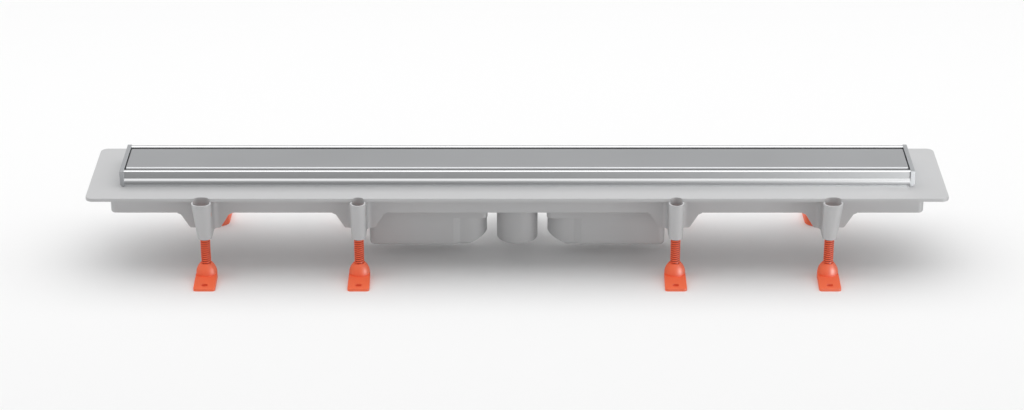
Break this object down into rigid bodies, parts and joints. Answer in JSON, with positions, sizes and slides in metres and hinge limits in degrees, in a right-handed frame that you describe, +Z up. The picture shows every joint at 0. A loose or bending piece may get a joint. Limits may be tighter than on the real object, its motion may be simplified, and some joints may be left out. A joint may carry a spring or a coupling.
{
  "type": "channel drain",
  "caption": "Low linear shower drain: flanged plastic channel on screw legs, with a stainless frame, a lift-out cover plate and a trap under a removable hood.",
  "frame": {"origin": "on the floor under the middle of the channel, below the centre of the flange", "axes": "+X along the channel, +Y towards the outlet spigot's side, +Z up"},
  "size_m": [0.918, 0.2032, 0.1097],
  "materials": {
    "grey_body": "light grey moulded plastic, fine satin texture",
    "steel_frame": "polished stainless steel",
    "satin_cover": "satin stainless steel, fine grain along the length",
    "trap_plastic": "dark grey moulded plastic",
    "soft_seal": "black rubber",
    "leg_plastic": "orange-red moulded plastic, slightly glossy"
  },
  "bodies": {
    "drain": {"drain_body": "grey_body", "cover_frame": "steel_frame", "cover_plate": "satin_cover", "trap_hood": "trap_plastic", "hood_seal": "soft_seal", "hair_strainer_left": "trap_plastic", "hair_strainer_right": "trap_plastic"},
    "foot_front_outer_left": {"leg_foot_front_outer_left": "leg_plastic"},
    "screw_front_outer_left": {"leg_screw_front_outer_left": "leg_plastic"},
    "foot_front_inner_left": {"leg_foot_front_inner_left": "leg_plastic"},
    "screw_front_inner_left": {"leg_screw_front_inner_left": "leg_plastic"},
    "foot_front_inner_right": {"leg_foot_front_inner_right": "leg_plastic"},
    "screw_front_inner_right": {"leg_screw_front_inner_right": "leg_plastic"},
    "foot_front_outer_right": {"leg_foot_front_outer_right": "leg_plastic"},
    "screw_front_outer_right": {"leg_screw_front_outer_right": "leg_plastic"},
    "foot_rear_outer_left": {"leg_foot_rear_outer_left": "leg_plastic"},
    "screw_rear_outer_left": {"leg_screw_rear_outer_left": "leg_plastic"},
    "foot_rear_inner_left": {"leg_foot_rear_inner_left": "leg_plastic"},
    "screw_rear_inner_left": {"leg_screw_rear_inner_left": "leg_plastic"},
    "foot_rear_inner_right": {"leg_foot_rear_inner_right": "leg_plastic"},
    "screw_rear_inner_right": {"leg_screw_rear_inner_right": "leg_plastic"},
    "foot_rear_outer_right": {"leg_foot_rear_outer_right": "leg_plastic"},
    "screw_rear_outer_right": {"leg_screw_rear_outer_right": "leg_plastic"}
  },
  "joints": [
    {"name": "height_front_outer_left", "type": "slide", "parent": "drain", "child": "foot_front_outer_left", "axis": [0, 0, 1], "range_m": [-0.012, 0.015]},
    {"name": "turn_front_outer_left", "type": "hinge", "parent": "foot_front_outer_left", "child": "screw_front_outer_left", "pos_m": [-0.333, -0.0686, 0.05], "axis": [0, 0, 1], "range_deg": [-1729, 2161]},
    {"name": "height_front_inner_left", "type": "slide", "parent": "drain", "child": "foot_front_inner_left", "axis": [0, 0, 1], "range_m": [-0.012, 0.015]},
    {"name": "turn_front_inner_left", "type": "hinge", "parent": "foot_front_inner_left", "child": "screw_front_inner_left", "pos_m": [-0.169, -0.0686, 0.05], "axis": [0, 0, 1], "range_deg": [-1729, 2161]},
    {"name": "height_front_inner_right", "type": "slide", "parent": "drain", "child": "foot_front_inner_right", "axis": [0, 0, 1], "range_m": [-0.012, 0.015]},
    {"name": "turn_front_inner_right", "type": "hinge", "parent": "foot_front_inner_right", "child": "screw_front_inner_right", "pos_m": [0.169, -0.0686, 0.05], "axis": [0, 0, 1], "range_deg": [-1729, 2161]},
    {"name": "height_front_outer_right", "type": "slide", "parent": "drain", "child": "foot_front_outer_right", "axis": [0, 0, 1], "range_m": [-0.012, 0.015]},
    {"name": "turn_front_outer_right", "type": "hinge", "parent": "foot_front_outer_right", "child": "screw_front_outer_right", "pos_m": [0.333, -0.0686, 0.05], "axis": [0, 0, 1], "range_deg": [-1729, 2161]},
    {"name": "height_rear_outer_left", "type": "slide", "parent": "drain", "child": "foot_rear_outer_left", "axis": [0, 0, 1], "range_m": [-0.012, 0.015]},
    {"name": "turn_rear_outer_left", "type": "hinge", "parent": "foot_rear_outer_left", "child": "screw_rear_outer_left", "pos_m": [-0.333, 0.0686, 0.05], "axis": [0, 0, 1], "range_deg": [-1729, 2161]},
    {"name": "height_rear_inner_left", "type": "slide", "parent": "drain", "child": "foot_rear_inner_left", "axis": [0, 0, 1], "range_m": [-0.012, 0.015]},
    {"name": "turn_rear_inner_left", "type": "hinge", "parent": "foot_rear_inner_left", "child": "screw_rear_inner_left", "pos_m": [-0.169, 0.0686, 0.05], "axis": [0, 0, 1], "range_deg": [-1729, 2161]},
    {"name": "height_rear_inner_right", "type": "slide", "parent": "drain", "child": "foot_rear_inner_right", "axis": [0, 0, 1], "range_m": [-0.012, 0.015]},
    {"name": "turn_rear_inner_right", "type": "hinge", "parent": "foot_rear_inner_right", "child": "screw_rear_inner_right", "pos_m": [0.169, 0.0686, 0.05], "axis": [0, 0, 1], "range_deg": [-1729, 2161]},
    {"name": "height_rear_outer_right", "type": "slide", "parent": "drain", "child": "foot_rear_outer_right", "axis": [0, 0, 1], "range_m": [-0.012, 0.015]},
    {"name": "turn_rear_outer_right", "type": "hinge", "parent": "foot_rear_outer_right", "child": "screw_rear_outer_right", "pos_m": [0.333, 0.0686, 0.05], "axis": [0, 0, 1], "range_deg": [-1729, 2161]}
  ],
  "couplings": [
    {"joint": "turn_front_outer_left", "follows": "height_front_outer_left", "rad_per_m": 2513.3},
    {"joint": "turn_front_inner_left", "follows": "height_front_inner_left", "rad_per_m": 2513.3},
    {"joint": "turn_front_inner_right", "follows": "height_front_inner_right", "rad_per_m": 2513.3},
    {"joint": "turn_front_outer_right", "follows": "height_front_outer_right", "rad_per_m": 2513.3},
    {"joint": "turn_rear_outer_left", "follows": "height_rear_outer_left", "rad_per_m": 2513.3},
    {"joint": "turn_rear_inner_left", "follows": "height_rear_inner_left", "rad_per_m": 2513.3},
    {"joint": "turn_rear_inner_right", "follows": "height_rear_inner_right", "rad_per_m": 2513.3},
    {"joint": "turn_rear_outer_right", "follows": "height_rear_outer_right", "rad_per_m": 2513.3}
  ]
}
